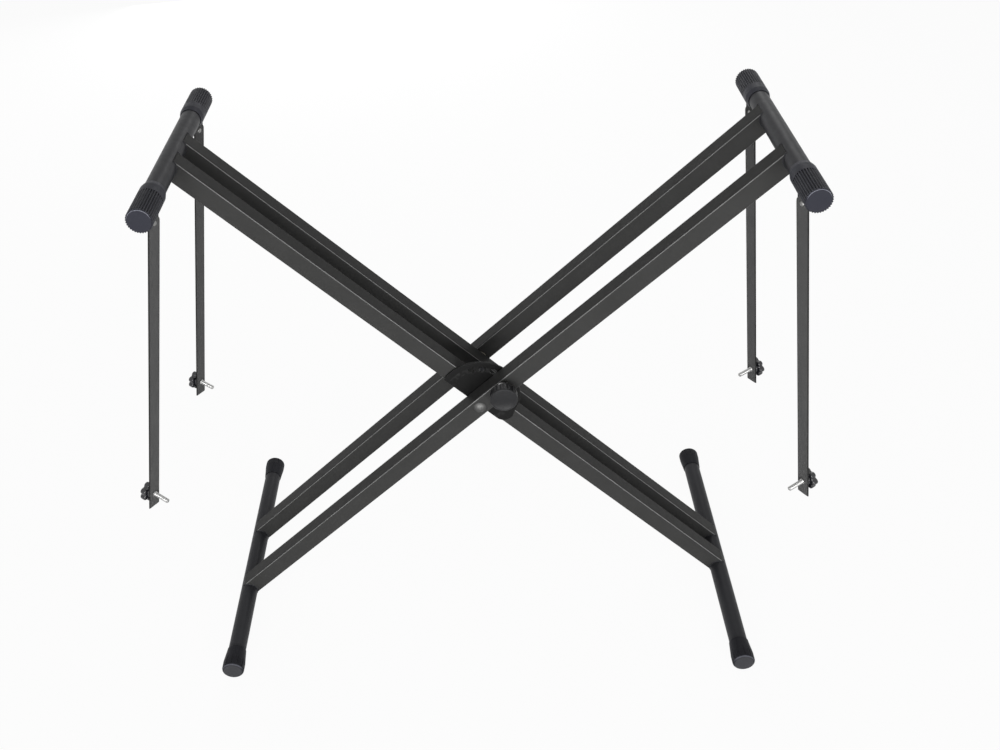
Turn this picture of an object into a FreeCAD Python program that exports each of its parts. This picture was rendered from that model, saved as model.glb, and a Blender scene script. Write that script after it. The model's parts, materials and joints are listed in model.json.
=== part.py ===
import FreeCAD, Part
import math
import os
import re

import Sketcher
from FreeCAD import Placement, Rotation, Vector

# A folding keyboard stand with two crossed frames of square rails.
#
# The inner frame runs from the top left to the bottom right, and the outer
# frame from the top right to the bottom left.  Both turn on one bolt where
# they cross.  A spring-loaded pin on the outer frame drops into the holes of
# a quadrant plate on the inner frame and sets the height.
#
# X is the width of the stand, -Y faces the viewer and Z is up.  The origin is
# on the floor, below the middle of the stand.  All sizes are in millimetres
# and all angles in degrees.

SIZES = {
    # the two frames
    "arm_half_length": 500,      # pivot to the axis of a cross tube
    "rest_arm_angle": 44,        # slope of the arms in the lowest position
    "rail_height": 25,
    "rail_width": 25,
    "rail_wall": 1.5,
    "rail_corner": 2,
    "inner_rail_offset": 27.5,   # middle plane of the stand to a rail's middle
    "frame_gap": 4,              # between an inner rail and its outer rail
    "tube_radius": 12.5,
    "tube_wall": 1.5,
    "weld_gap": 0.05,            # between a coped rail end and its tube
    # the rubber caps on the top tubes
    "top_span": 340,             # over both caps
    "cap_radius": 15,
    "cap_length": 70,
    "cap_end": 6,                # rubber beyond the end of the tube
    "cap_slip": 0.1,             # between tube and rubber
    "cap_disc_radius": 13.6,     # smooth raised face of the closed end
    "cap_disc_height": 1.2,
    "cap_disc_bevel": 0.6,
    "collar_length": 22,
    "mouth_length": 8,           # cone from the collar down to the mouth
    "mouth_lip": 0.9,            # rubber left round the tube at the mouth
    "rib_count": 32,
    "rib_depth": 1,
    "rib_groove_width": 2.1,
    # the rubber feet
    "foot_span": 440,            # over both feet
    "foot_radius": 15.5,
    "foot_length": 36,
    "foot_end": 8,
    "foot_round": 4,
    "foot_taper_length": 22,
    "flute_count": 12,
    "flute_depth": 0.7,
    "flute_width": 2.6,
    # the lug under each top cap, which carries a strap
    "lug_position": 45,          # end of the cap to the middle of the lug
    "lug_offset": 3,             # tube axis to the lug's middle plane, inward
    "lug_thickness": 4,
    "lug_root": 8,               # tube axis to the top of the lug
    "rivet_drop": 25,            # tube axis to the rivet
    "rivet_radius": 2.5,
    "rivet_head_radius": 4.5,
    "rivet_head_height": 1.8,
    "rivet_tail_height": 1,
    "rivet_slip": 0.05,
    # the webbing straps
    "strap_width": 18,
    "strap_thickness": 2,
    "strap_length": 440,         # rivet to the cut end
    "strap_gap": 0.3,
    "strap_turn": 30,            # the inner face turns towards the front
    "screw_inset": 23,           # cut end to the screw
    # how far each cap is turned on its tube, which swings its strap outward
    "lean_front_left": 11.4,
    "lean_rear_left": 9.7,
    "lean_front_right": 9.2,
    "lean_rear_right": 7.8,
    # the star knob and its screw at the end of each strap
    "star_radius": 15,
    "star_lobe_radius": 4.2,
    "star_lobe_count": 7,
    "star_core_radius": 12,
    "star_thickness": 8,
    "star_collar_radius": 8,
    "star_collar_height": 3,
    "star_dish_radius": 7,
    "star_dish_depth": 1,
    "screw_radius": 3,
    "screw_slip": 0.08,
    "screw_grip": 7,             # screw inside the knob
    "screw_reach": 24,           # screw beyond the strap
    "screw_point": 0.8,
    "stop_radius": 3.8,          # ring that keeps the screw in the strap
    "stop_thickness": 1,
    # the pivot
    "bolt_radius": 4,
    "bolt_head_radius": 8.5,
    "bolt_head_height": 3.6,
    "bolt_neck_width": 8,
    "bolt_neck_length": 3,
    "bolt_tail": 3,
    "bolt_slip": 0.1,
    "pivot_running_gap": 0.05,
    "bush_radius": 6.5,
    "spacer_radius": 9,
    "spacer_clearance": 0.5,
    "thrust_radius": 11,
    "thrust_play": 0.1,
    "washer_radius": 9,
    "washer_thickness": 1.6,
    "nut_width": 13,
    "nut_height": 8,
    # the quadrant plate and the height lock
    "plate_thickness": 3,
    "plate_radius": 55,
    "plate_reach": 58,           # pivot to the plate's straight end
    "plate_shoulder_angle": 30,  # where the arc leaves towards that end
    "lock_circle": 43.5,
    "lock_hole_count": 4,
    "lock_hole_pitch": 20,
    "lock_hole_radius": 4.5,
    "pin_radius": 4,
    "pin_running_gap": 0.05,
    "pin_nose_gap": 0.35,        # pin drawn back from the plate
    "pin_nose_bevel": 0.8,
    "pin_shoulder_radius": 6,
    "pin_shoulder_depth": 17,    # front of the rail to the shoulder
    "pin_shoulder_thickness": 2,
    "pin_grip": 12,              # pin inside the knob
    "housing_radius": 7,
    "housing_depth": 7,
    "housing_flange_radius": 11.5,
    "housing_flange": 3,
    "spring_wire": 1,
    "spring_radius": 5.2,
    "spring_turns": 4,
    "spring_end_gap": 0.3,
    "knob_standoff": 10,         # front of the rail to the back of the knob
    "knob_radius": 18,
    "knob_length": 14,
    "knob_bevel": 2,
    "knob_flute_count": 20,
    "knob_flute_depth": 0.9,
    "knob_flute_width": 3,
    "knob_flute_margin": 2.5,    # plain band behind the knob's face
}

# Places that several pieces share, as formulas of the sizes.
TUBE_OUT = "arm_half_length * cos(rest_arm_angle)"
TUBE_RISE = "arm_half_length * sin(rest_arm_angle)"
PIVOT_HEIGHT = f"(foot_radius + {TUBE_RISE})"
TOP_HEIGHT = f"({PIVOT_HEIGHT} + {TUBE_RISE})"
OUTER_RAIL_OFFSET = "(inner_rail_offset + rail_width + frame_gap)"
OUTER_FACE = f"({OUTER_RAIL_OFFSET} + rail_width / 2)"
INNER_FACE = "(inner_rail_offset + rail_width / 2)"
STRAP_MIDDLE = "(lug_thickness / 2 + strap_gap + strap_thickness / 2)"

# The slope of each frame, as a turn about Y of its own level X axis.
INNER_TURN = "rest_arm_angle"
OUTER_TURN = "-rest_arm_angle"

SIDES = {"left": -1, "right": 1}
ENDS = {"front": -1, "rear": 1}


# ---------------------------------------------------------------- the sheet

doc = FreeCAD.newDocument("KeyboardStand")
sheet = doc.addObject("Spreadsheet::Sheet", "Sizes")
for row, (size_name, size) in enumerate(SIZES.items(), start=1):
    sheet.set(f"A{row}", size_name)
    sheet.set(f"B{row}", str(size))
    sheet.setAlias(f"B{row}", size_name)
doc.recompute()

pieces = []


def formula(text):
    """A formula of size names, with each name pointing at the sheet."""
    def cell(match):
        word = match.group(0)
        return f"Sizes.{word}" if word in SIZES else word
    return re.sub(r"[A-Za-z_]\w*", cell, str(text))


def number(text):
    """The value of a formula now."""
    return float(sheet.evalExpression(formula(text)))


def bind(item, path, text):
    """Tie one property of an object to a formula."""
    item.setExpression(path, formula(text))


# ------------------------------------------------------------- placing pieces

def frame(x=0, y=0, z=0, about_y=0, about_z=0):
    """A place, turned first about its own Z and then about Y."""
    turn = f"rotation(vector(0; 1; 0); {about_y}) * rotation(vector(0; 0; 1); {about_z})"
    return f"placement(vector({x}; {y}; {z}); {turn})"


def place(piece, *frames):
    """Put a piece at a chain of frames, each within the one before."""
    bind(piece, "Placement", " * ".join(frames))


def new_body(name):
    """An empty body for one piece of the stand."""
    body = doc.addObject("PartDesign::Body", name)
    body.Label = name
    pieces.append(body)
    return body


# ------------------------------------------------------------------- sketches

def new_sketch(body, plane, name, across=0, offset=0, turn=0, axis=(0, 0, 1)):
    """A sketch on an origin plane, moved along its own X and its normal, then turned."""
    sketch = body.newObject("Sketcher::SketchObject", f"{body.Name}_{name}")
    support = next(f for f in body.Origin.OriginFeatures if f.Role == plane)
    sketch.AttachmentSupport = [(support, "")]
    sketch.MapMode = "FlatFace"
    base = Vector(number(across), 0, number(offset))
    sketch.AttachmentOffset = Placement(base, Rotation(Vector(*axis), number(turn)))
    if across:
        bind(sketch, "AttachmentOffset.Base.x", across)
    if offset:
        bind(sketch, "AttachmentOffset.Base.z", offset)
    if turn:
        bind(sketch, "AttachmentOffset.Rotation.Angle", turn)
    return sketch


def pin_point(sketch, geometry, point, x, y):
    """Hold one point of a sketch at a formula for X and one for Y."""
    for kind, place_text in (("DistanceX", x), ("DistanceY", y)):
        limit = Sketcher.Constraint(kind, geometry, point, number(place_text))
        index = sketch.addConstraint(limit)
        bind(sketch, f"Constraints[{index}]", place_text)


def add_circle(sketch, x, y, radius):
    """A circle held at its middle, with a bound radius."""
    middle = Vector(number(x), number(y), 0)
    circle = Part.Circle(middle, Vector(0, 0, 1), number(radius))
    index = sketch.addGeometry(circle)
    pin_point(sketch, index, 3, x, y)
    limit = sketch.addConstraint(Sketcher.Constraint("Radius", index, number(radius)))
    bind(sketch, f"Constraints[{limit}]", radius)


def arc_between(start, finish, radius):
    """The short arc from start to finish; a negative radius turns clockwise."""
    chord = finish - start
    rise = math.sqrt(max(radius ** 2 - (chord.Length / 2) ** 2, 0))
    left = Vector(-chord.y, chord.x, 0).normalize()
    middle = (start + finish) * 0.5 + left * math.copysign(rise, radius)
    first, last = (start, finish) if radius > 0 else (finish, start)
    angles = [math.atan2(p.y - middle.y, p.x - middle.x) for p in (first, last)]
    circle = Part.Circle(middle, Vector(0, 0, 1), abs(radius))
    return Part.ArcOfCircle(circle, *angles)


def add_outline(sketch, corners):
    """A closed outline.

    A corner is a formula for X and one for Y.  A third formula makes the edge
    that arrives there an arc of that radius, clockwise where it is negative.
    """
    points = [Vector(number(c[0]), number(c[1]), 0) for c in corners]
    edges = []
    for i, corner in enumerate(corners):
        start, finish = points[i - 1], points[i]
        if len(corner) == 2:
            index = sketch.addGeometry(Part.LineSegment(start, finish))
            edges.append((index, 1, 2))
            continue
        radius = number(corner[2])
        index = sketch.addGeometry(arc_between(start, finish, radius))
        edges.append((index, 1, 2) if radius > 0 else (index, 2, 1))
        limit = sketch.addConstraint(Sketcher.Constraint("Radius", index, abs(radius)))
        bind(sketch, f"Constraints[{limit}]", f"abs({corner[2]})")
    for i, (index, _, end) in enumerate(edges):
        following, begin, _ = edges[(i + 1) % len(edges)]
        joint = Sketcher.Constraint("Coincident", index, end, following, begin)
        sketch.addConstraint(joint)
        pin_point(sketch, index, end, corners[i][0], corners[i][1])


def rectangle(width, height):
    """Corners of a rectangle about the sketch's origin."""
    w, h = f"({width}) / 2", f"({height}) / 2"
    return [(w, f"-({h})"), (w, h), (f"-({w})", h), (f"-({w})", f"-({h})")]


# ------------------------------------------------------------------- features

def extrude(body, kind, sketch, length, side="One side", backwards=False):
    """A Pad or a Pocket of one sketch."""
    feature = body.newObject(f"PartDesign::{kind}", f"{sketch.Name}_{kind}")
    feature.Profile = sketch
    feature.SideType = side
    feature.Reversed = backwards
    bind(feature, "Length", length)
    body.Tip = feature
    return feature


def revolve(body, corners, name="profile"):
    """A solid of revolution about Y; corners are radius and place along Y."""
    sketch = new_sketch(body, "XY_Plane", name)
    add_outline(sketch, corners)
    feature = body.newObject("PartDesign::Revolution", f"{sketch.Name}_Revolution")
    feature.Profile = sketch
    feature.ReferenceAxis = (sketch, ["V_Axis"])
    feature.Angle = 360
    body.Tip = feature
    return feature


def repeat_round_y(body, feature, sketch, count):
    """Copies of a feature all the way round the normal of its sketch."""
    pattern = body.newObject("PartDesign::PolarPattern", f"{feature.Name}_Pattern")
    pattern.Originals = [feature]
    pattern.Axis = (sketch, ["N_Axis"])
    pattern.Angle = 360
    bind(pattern, "Occurrences", count)
    body.Tip = pattern
    return pattern


def cut_grooves(body, radius, depth, width, start, length, count):
    """V grooves along a round piece, from a place on Y towards +Y."""
    outside = f"({radius} + {depth})"
    sketch = new_sketch(body, "XZ_Plane", "groove", offset=f"-({start})")
    add_outline(sketch, [
        (f"{radius} - {depth}", 0),
        (outside, f"-{width}"),
        (outside, width),
    ])
    groove = extrude(body, "Pocket", sketch, length)
    repeat_round_y(body, groove, sketch, count)


def sleeve(name, outside, inside, length):
    """A plain tube about Y, from Y = 0 towards +Y."""
    body = new_body(name)
    revolve(body, [
        (inside, 0),
        (outside, 0),
        (outside, length),
        (inside, length),
    ])
    return body


# ------------------------------------------------------------------- the rails

def rail_edges(shape, offset, length):
    """Names of the edges along X that lie at one distance from the middle."""
    names = []
    for i, edge in enumerate(shape.Edges, start=1):
        box = edge.BoundBox
        long_enough = box.XLength > length * 0.9
        on_corner = abs(abs(box.Center.y) - offset) < 0.01
        if long_enough and on_corner:
            names.append(f"Edge{i}")
    return names


def build_rail(name, offset, turn):
    """A square tube, coped at both ends to fit the cross tubes."""
    body = new_body(name)
    section = new_sketch(body, "YZ_Plane", "section")
    add_outline(section, rectangle("rail_width", "rail_height"))
    add_outline(section, rectangle("rail_width - 2 * rail_wall", "rail_height - 2 * rail_wall"))
    tube = extrude(body, "Pad", section, "2 * arm_half_length", side="Symmetric")
    doc.recompute()

    length = number("2 * arm_half_length")
    corners = body.newObject("PartDesign::Fillet", f"{name}_corners")
    corners.Base = (tube, rail_edges(tube.Shape, number("rail_width / 2"), length))
    bind(corners, "Radius", "rail_corner")
    body.Tip = corners

    cope = new_sketch(body, "XZ_Plane", "cope")
    for end in ("arm_half_length", "-arm_half_length"):
        add_circle(cope, end, 0, "tube_radius + weld_gap")
    extrude(body, "Pocket", cope, "2 * rail_width", side="Symmetric")
    place(body, frame(y=offset, z=PIVOT_HEIGHT, about_y=turn))
    return body


def bore_rail(body, name, along, radius, wall="both"):
    """A round hole across a rail through the front wall, the rear wall or both."""
    if wall == "front":
        sketch = new_sketch(body, "XZ_Plane", name, offset="rail_width / 2")
        depth, side = "rail_width / 2", "One side"
    elif wall == "rear":
        sketch = new_sketch(body, "XZ_Plane", name)
        depth, side = "rail_width", "One side"
    else:
        sketch = new_sketch(body, "XZ_Plane", name)
        depth, side = "2 * rail_width", "Symmetric"
    add_circle(sketch, along, 0, radius)
    extrude(body, "Pocket", sketch, depth, side=side)


def build_inner_rail(name, side):
    rail = build_rail(name, f"{side} * inner_rail_offset", INNER_TURN)
    bore_rail(rail, "pivot", 0, "bush_radius + cap_slip")


def build_outer_rail_rear():
    rail = build_rail("outer_rail_rear", OUTER_RAIL_OFFSET, OUTER_TURN)
    bore_rail(rail, "pivot", 0, "bolt_radius + bolt_slip")


def build_outer_rail_front():
    """The rail that holds the bolt's square neck and the height lock."""
    rail = build_rail("outer_rail_front", f"-{OUTER_RAIL_OFFSET}", OUTER_TURN)
    neck = new_sketch(rail, "XZ_Plane", "neck", offset="rail_width / 2")
    opening = "bolt_neck_width + 2 * bolt_slip"
    add_outline(neck, rectangle(opening, opening))
    extrude(rail, "Pocket", neck, "rail_width / 2")
    bore_rail(rail, "pivot", 0, "bolt_radius + bolt_slip", wall="rear")
    bore_rail(rail, "housing", "lock_circle", "housing_radius + bolt_slip", wall="front")
    bore_rail(rail, "pin", "lock_circle", "pin_radius + pin_running_gap", wall="rear")


# ------------------------------------------------------------- the cross tubes

def build_tube(name, x, z, length):
    """A round tube along Y, hollow from end to end."""
    body = new_body(name)
    section = new_sketch(body, "XZ_Plane", "section")
    add_circle(section, 0, 0, "tube_radius")
    add_circle(section, 0, 0, "tube_radius - tube_wall")
    extrude(body, "Pad", section, length, side="Symmetric")
    place(body, frame(x=x, z=z))


def build_tubes():
    top_length = "top_span - 2 * cap_end - 2 * cap_slip"
    foot_length = "foot_span - 2 * foot_end - 2 * cap_slip"
    for side, sign in SIDES.items():
        build_tube(f"top_tube_{side}", f"{sign} * {TUBE_OUT}", TOP_HEIGHT, top_length)
        build_tube(f"foot_tube_{side}", f"{sign} * {TUBE_OUT}", "foot_radius", foot_length)


# ------------------------------------------------------------- rubber end caps

def rubber_end(position, side, span, height, lean=0):
    """Frame of a cap: its closed end outward, its own Y towards the mouth."""
    turn = 0 if ENDS[position] < 0 else 180
    x = f"{SIDES[side]} * {TUBE_OUT}"
    return frame(x=x, y=f"{ENDS[position]} * {span} / 2", z=height, about_y=lean, about_z=turn)


def lean_turn(position, side):
    """The turn about Y that swings a lug out from under its tube."""
    return f"-({SIDES[side]}) * lean_{position}_{side}"


def lug_sketch(body, name, position, side):
    """A sketch on the middle plane of a lug: X along the cap and Y up."""
    inward = SIDES[side] * ENDS[position]
    return new_sketch(
        body, "YZ_Plane", name,
        across="lug_position",
        offset=f"{inward} * lug_offset",
        turn=f"{SIDES[side]} * strap_turn",
        axis=(0, 1, 0),
    )


def add_lug(body, position, side):
    """The flat tongue below a top cap, with its rivet hole."""
    radius = "strap_width / 2"
    outline = lug_sketch(body, "lug", position, side)
    add_outline(outline, [
        (f"-{radius}", "-lug_root"),
        (f"-{radius}", "-rivet_drop"),
        (0, f"-rivet_drop - {radius}", radius),
        (radius, "-rivet_drop", radius),
        (radius, "-lug_root"),
    ])
    extrude(body, "Pad", outline, "lug_thickness", side="Symmetric")
    hole = lug_sketch(body, "rivet", position, side)
    add_circle(hole, 0, "-rivet_drop", "rivet_radius + rivet_slip")
    extrude(body, "Pocket", hole, "2 * lug_thickness", side="Symmetric")


def build_top_cap(position, side):
    """A ribbed rubber sleeve with a smooth collar, a closed end and a lug."""
    body = new_body(f"top_cap_{position}_{side}")
    revolve(body, [
        (0, 0),
        ("cap_disc_radius - cap_disc_bevel", 0),
        ("cap_disc_radius", "cap_disc_bevel"),
        ("cap_disc_radius", "cap_disc_height"),
        ("cap_radius", "cap_disc_height"),
        ("cap_radius", "cap_length - mouth_length"),
        ("tube_radius + mouth_lip", "cap_length"),
        (0, "cap_length"),
    ])
    ribs = "cap_length - collar_length"
    cut_grooves(body, "cap_radius", "rib_depth", "rib_groove_width", "0", ribs, "rib_count")
    add_lug(body, position, side)
    bore = new_sketch(body, "XZ_Plane", "bore", offset="-cap_end")
    add_circle(bore, 0, 0, "tube_radius + cap_slip")
    extrude(body, "Pocket", bore, "cap_length")
    lean = lean_turn(position, side)
    place(body, rubber_end(position, side, "top_span", TOP_HEIGHT, lean))


def build_foot(position, side):
    """A tapered rubber foot with a rounded end and shallow flutes."""
    body = new_body(f"foot_cap_{position}_{side}")
    bore = "tube_radius + cap_slip"
    taper = "foot_length - foot_taper_length"
    revolve(body, [
        (0, 0),
        ("foot_radius - foot_round", 0),
        ("foot_radius", "foot_round", "foot_round"),
        ("foot_radius", taper),
        ("tube_radius + mouth_lip", "foot_length"),
        (bore, "foot_length"),
        (bore, "foot_end"),
        (0, "foot_end"),
    ])
    cut_grooves(body, "foot_radius", "flute_depth", "flute_width", "foot_round", taper, "flute_count")
    place(body, rubber_end(position, side, "foot_span", "foot_radius"))


# ------------------------------------------------------------------- the straps

def strap_frame(position, side):
    """Frame on a rivet's axis, mid-lug: X outward and Z up the strap."""
    tube = frame(
        x=f"{SIDES[side]} * {TUBE_OUT}",
        y=f"{ENDS[position]} * (top_span / 2 - lug_position)",
        z=TOP_HEIGHT,
        about_y=lean_turn(position, side),
    )
    facing = 0 if side == "right" else 180
    lug = frame(
        x=f"-({SIDES[side]}) * lug_offset",
        z="-rivet_drop",
        about_z=f"({facing} + {SIDES[side]} * strap_turn)",
    )
    return [tube, lug]


def screw_frame(position, side):
    """Frame of a strap's screw: Y out from the outer face of the webbing."""
    face = frame(
        x="-(lug_thickness / 2 + strap_gap)",
        z="screw_inset - strap_length",
        about_z=-90,
    )
    return strap_frame(position, side) + [face]


def build_strap(position, side):
    """A flat strap on the inner side of its lug, cut square at the bottom."""
    body = new_body(f"strap_{position}_{side}")
    radius = "strap_width / 2"
    outline = new_sketch(body, "YZ_Plane", "outline")
    add_outline(outline, [
        (radius, "-strap_length"),
        (radius, 0),
        (0, radius, radius),
        (f"-{radius}", 0, radius),
        (f"-{radius}", "-strap_length"),
    ])
    extrude(body, "Pad", outline, "strap_thickness", side="Symmetric")
    holes = new_sketch(body, "YZ_Plane", "holes")
    add_circle(holes, 0, 0, "rivet_radius + rivet_slip")
    add_circle(holes, 0, "screw_inset - strap_length", "screw_radius + screw_slip")
    extrude(body, "Pocket", holes, "2 * strap_thickness", side="Symmetric")
    place(body, *strap_frame(position, side), frame(x=f"-{STRAP_MIDDLE}"))


def build_rivet(position, side):
    """A domed rivet: Y = 0 is the middle of the lug, and the strap is on -Y."""
    body = new_body(f"strap_rivet_{position}_{side}")
    seat = "lug_thickness / 2"
    inner = f"-({seat} + strap_thickness + 2 * strap_gap)"
    dome = "(rivet_head_radius^2 + rivet_head_height^2) / (2 * rivet_head_height)"
    revolve(body, [
        (0, f"{inner} - rivet_head_height"),
        ("rivet_head_radius", inner, dome),
        ("rivet_radius", inner),
        ("rivet_radius", seat),
        ("rivet_head_radius", seat),
        ("rivet_head_radius", f"{seat} + rivet_tail_height"),
        (0, f"{seat} + rivet_tail_height"),
    ])
    place(body, *strap_frame(position, side), frame(about_z=-90))


def build_star_knob(position, side):
    """A lobed hand knob: Y = 0 is the strap's outer face."""
    body = new_body(f"star_knob_{position}_{side}")
    base = "strap_gap + star_collar_height"
    face = f"{base} + star_thickness"
    grip = "strap_gap + screw_grip"
    revolve(body, [
        ("screw_radius", "strap_gap"),
        ("star_collar_radius", "strap_gap"),
        ("star_collar_radius", base),
        ("star_core_radius", base),
        ("star_core_radius", face),
        ("star_dish_radius", face),
        ("star_dish_radius - star_dish_depth", f"{face} - star_dish_depth"),
        (0, f"{face} - star_dish_depth"),
        (0, grip),
        ("screw_radius", grip),
    ])
    lobe = new_sketch(body, "XZ_Plane", "lobe", offset=f"-({base})")
    add_circle(lobe, "star_radius - star_lobe_radius", 0, "star_lobe_radius")
    bump = extrude(body, "Pad", lobe, "star_thickness", backwards=True)
    repeat_round_y(body, bump, lobe, "star_lobe_count")
    place(body, *screw_frame(position, side))


def build_screw(position, side):
    """The knob's screw, held in the strap by a ring on its inner side."""
    body = new_body(f"strap_screw_{position}_{side}")
    tip = "-(strap_thickness + screw_reach)"
    stop = "-(strap_thickness + strap_gap)"
    revolve(body, [
        (0, tip),
        ("screw_radius - screw_point", tip),
        ("screw_radius", f"{tip} + screw_point"),
        ("screw_radius", f"{stop} - stop_thickness"),
        ("stop_radius", f"{stop} - stop_thickness"),
        ("stop_radius", stop),
        ("screw_radius", stop),
        ("screw_radius", "strap_gap + screw_grip"),
        (0, "strap_gap + screw_grip"),
    ])
    place(body, *screw_frame(position, side))


# -------------------------------------------------------------------- the pivot

def pivot_frame(y, turn=0):
    """Frame on the pivot's axis at one place along Y."""
    return frame(y=y, z=PIVOT_HEIGHT, about_y=turn)


def build_pivot_bolt():
    """A domed bolt whose square neck sits in the outer front rail."""
    body = new_body("pivot_bolt")
    dome = "(bolt_head_radius^2 + bolt_head_height^2) / (2 * bolt_head_height)"
    length = f"2 * {OUTER_FACE} + washer_thickness + nut_height + bolt_tail"
    revolve(body, [
        (0, "-bolt_head_height"),
        ("bolt_head_radius", 0, dome),
        ("bolt_radius", 0),
        ("bolt_radius", length),
        (0, length),
    ])
    neck = new_sketch(body, "XZ_Plane", "neck")
    add_outline(neck, rectangle("bolt_neck_width", "bolt_neck_width"))
    extrude(body, "Pad", neck, "bolt_neck_length", backwards=True)
    place(body, pivot_frame(f"-{OUTER_FACE}", OUTER_TURN))


def build_pivot_nut():
    """A hexagon lock nut on the bolt's rear end."""
    body = new_body("pivot_nut")
    corner = "nut_width / 2 / cos(30)"
    outline = new_sketch(body, "XZ_Plane", "outline")
    add_outline(outline, [
        (f"{corner} * cos({60 * i})", f"{corner} * sin({60 * i})") for i in range(6)
    ])
    add_circle(outline, 0, 0, "bolt_radius + pivot_running_gap")
    extrude(body, "Pad", outline, "nut_height", backwards=True)
    place(body, pivot_frame(f"{OUTER_FACE} + washer_thickness", OUTER_TURN))


def build_pivot_sleeves():
    """The washers, bushes and spacer that the bolt passes through."""
    bore = "bolt_radius + pivot_running_gap"
    loose = "bolt_radius + spacer_clearance"
    washer = sleeve("pivot_washer", "washer_radius", "bolt_radius + bolt_slip", "washer_thickness")
    place(washer, pivot_frame(OUTER_FACE))

    front = sleeve("bush_front", "bush_radius", bore, "rail_width + plate_thickness")
    place(front, pivot_frame(f"-{INNER_FACE} - plate_thickness"))
    rear = sleeve("bush_rear", "bush_radius", bore, "rail_width")
    place(rear, pivot_frame("inner_rail_offset - rail_width / 2"))

    span = "2 * inner_rail_offset - rail_width"
    spacer = sleeve("centre_spacer", "spacer_radius", loose, span)
    place(spacer, pivot_frame(f"-({span}) / 2"))

    thin = "frame_gap - plate_thickness - thrust_play"
    thrust = sleeve("thrust_washer_front", "thrust_radius", loose, thin)
    place(thrust, pivot_frame(f"-{INNER_FACE} - plate_thickness - ({thin})"))
    thrust = sleeve("thrust_washer_rear", "thrust_radius", loose, "frame_gap - thrust_play")
    place(thrust, pivot_frame(INNER_FACE))


# --------------------------------------------------- quadrant plate and height lock

def build_quadrant_plate():
    """The plate with the height holes, flat on the inner front rail."""
    body = new_body("quadrant_plate")
    bottom = "-rail_height / 2"
    shoulder_x = "plate_radius * cos(plate_shoulder_angle)"
    shoulder_z = "plate_radius * sin(plate_shoulder_angle)"
    outline = new_sketch(body, "XZ_Plane", "outline")
    add_outline(outline, [
        ("-sqrt(plate_radius^2 - rail_height^2 / 4)", bottom, "plate_radius"),
        ("plate_reach", bottom),
        ("plate_reach", "rail_height / 2"),
        (shoulder_x, shoulder_z),
    ])
    extrude(body, "Pad", outline, "plate_thickness")
    holes = new_sketch(body, "XZ_Plane", "holes")
    add_circle(holes, 0, 0, "bush_radius + cap_slip")
    for i in range(int(SIZES["lock_hole_count"])):
        angle = f"(2 * rest_arm_angle + {i} * lock_hole_pitch)"
        add_circle(
            holes,
            f"lock_circle * cos{angle}",
            f"lock_circle * sin{angle}",
            "lock_hole_radius",
        )
    extrude(body, "Pocket", holes, "2 * plate_thickness", side="Symmetric")
    place(body, pivot_frame(f"-{INNER_FACE}", INNER_TURN))


def lock_frame():
    """Frame on the lock pin's axis, at the front face of the outer front rail."""
    return frame(
        x="lock_circle * cos(rest_arm_angle)",
        y=f"-{OUTER_FACE}",
        z=f"{PIVOT_HEIGHT} + lock_circle * sin(rest_arm_angle)",
    )


def build_lock_housing():
    """The flanged bush that guides the pin and holds the spring."""
    body = new_body("lock_housing")
    revolve(body, [
        ("pin_radius + pin_running_gap", "-housing_flange"),
        ("housing_flange_radius", "-housing_flange"),
        ("housing_flange_radius", 0),
        ("housing_radius", 0),
        ("housing_radius", "housing_depth"),
        ("pin_radius + pin_running_gap", "housing_depth"),
    ])
    place(body, lock_frame())


def build_lock_pin():
    """The pin: a bevelled nose, a shoulder for the spring, a stem to the knob."""
    body = new_body("lock_pin")
    nose = "rail_width + frame_gap - plate_thickness - pin_nose_gap"
    back = "pin_shoulder_depth + pin_shoulder_thickness"
    stem = "-knob_standoff - pin_grip"
    revolve(body, [
        (0, stem),
        ("pin_radius", stem),
        ("pin_radius", "pin_shoulder_depth"),
        ("pin_shoulder_radius", "pin_shoulder_depth"),
        ("pin_shoulder_radius", back),
        ("pin_radius", back),
        ("pin_radius", f"{nose} - pin_nose_bevel"),
        ("pin_radius - pin_nose_bevel", nose),
        (0, nose),
    ])
    place(body, lock_frame())


def build_lock_spring():
    """The coil between the housing and the pin's shoulder."""
    body = new_body("lock_spring")
    start = "housing_depth + spring_end_gap + spring_wire / 2"
    room = "pin_shoulder_depth - housing_depth - 2 * spring_end_gap - spring_wire"
    wire = new_sketch(body, "XY_Plane", "wire")
    add_circle(wire, "spring_radius", start, "spring_wire / 2")
    coil = body.newObject("PartDesign::AdditiveHelix", "lock_spring_coil")
    coil.Profile = wire
    coil.ReferenceAxis = (wire, ["V_Axis"])
    coil.Mode = "height-turns-angle"
    coil.Angle = 0
    bind(coil, "Height", room)
    bind(coil, "Turns", "spring_turns")
    body.Tip = coil
    place(body, lock_frame())


def build_lock_knob():
    """The fluted pull knob on the front end of the pin."""
    body = new_body("lock_knob")
    back = "-knob_standoff"
    face = "-knob_standoff - knob_length"
    grip = "-knob_standoff - pin_grip"
    revolve(body, [
        ("pin_radius", back),
        ("pin_radius", grip),
        (0, grip),
        (0, face),
        ("knob_radius - knob_bevel", face),
        ("knob_radius", f"{face} + knob_bevel"),
        ("knob_radius", back),
    ])
    cut_grooves(
        body, "knob_radius", "knob_flute_depth", "knob_flute_width",
        f"{face} + knob_flute_margin", "knob_length", "knob_flute_count",
    )
    place(body, lock_frame())


# ----------------------------------------------------------------- the assembly

for end_name, end_sign in ENDS.items():
    build_inner_rail(f"inner_rail_{end_name}", end_sign)
build_outer_rail_front()
build_outer_rail_rear()
build_tubes()
for end_name in ENDS:
    for side_name in SIDES:
        build_top_cap(end_name, side_name)
        build_foot(end_name, side_name)
        build_strap(end_name, side_name)
        build_rivet(end_name, side_name)
        build_star_knob(end_name, side_name)
        build_screw(end_name, side_name)
build_pivot_bolt()
build_pivot_nut()
build_pivot_sleeves()
build_quadrant_plate()
build_lock_housing()
build_lock_pin()
build_lock_spring()
build_lock_knob()
doc.recompute()

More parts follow.
